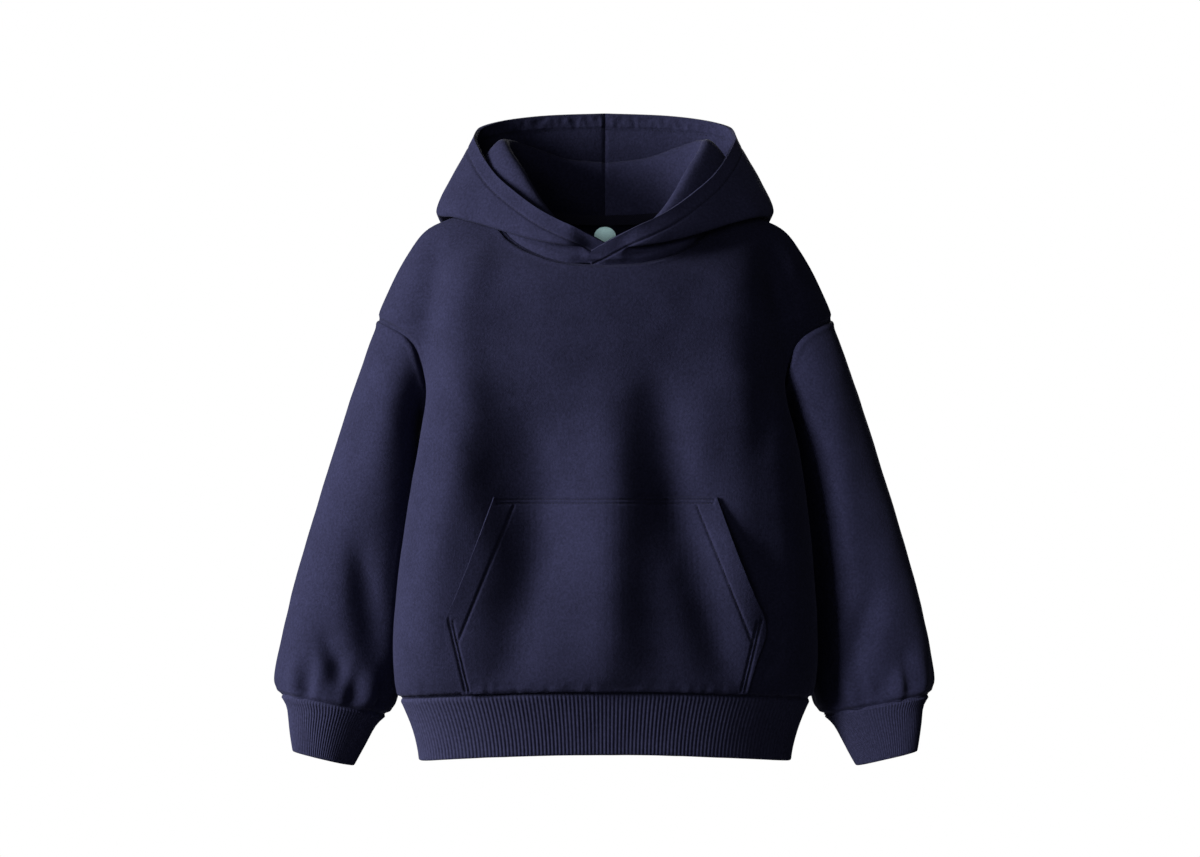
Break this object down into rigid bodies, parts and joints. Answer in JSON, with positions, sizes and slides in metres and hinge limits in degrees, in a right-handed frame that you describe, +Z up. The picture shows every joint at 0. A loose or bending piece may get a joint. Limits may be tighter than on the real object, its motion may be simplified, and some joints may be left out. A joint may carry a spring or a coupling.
{
  "type": "hooded pullover",
  "caption": "Toddler's hooded pullover, filled out and hollow, with a kangaroo pocket, ribbed hem and cuffs, and a folded-back hood.",
  "frame": {"origin": "middle of the neck opening, level with the back neck seam, at centre front to back", "axes": "+X to the viewer's right when facing the front, +Y from front to back, +Z up from hem to hood"},
  "size_m": [0.5178, 0.1997, 0.5119],
  "materials": {
    "fleece": "matt navy cotton fleece",
    "rib_knit": "navy rib knit",
    "neck_tape": "dark navy cotton tape",
    "woven_label": "aqua satin weave, blank"
  },
  "bodies": {
    "root": {"front_panel": "fleece", "back_panel": "fleece", "sleeve_left": "fleece", "sleeve_right": "fleece", "cuff_left": "rib_knit", "cuff_right": "rib_knit", "hem_band": "rib_knit", "pocket": "fleece", "hood_left": "fleece", "hood_right": "fleece", "neck_tape": "neck_tape", "neck_label": "woven_label"}
  },
  "joints": []
}
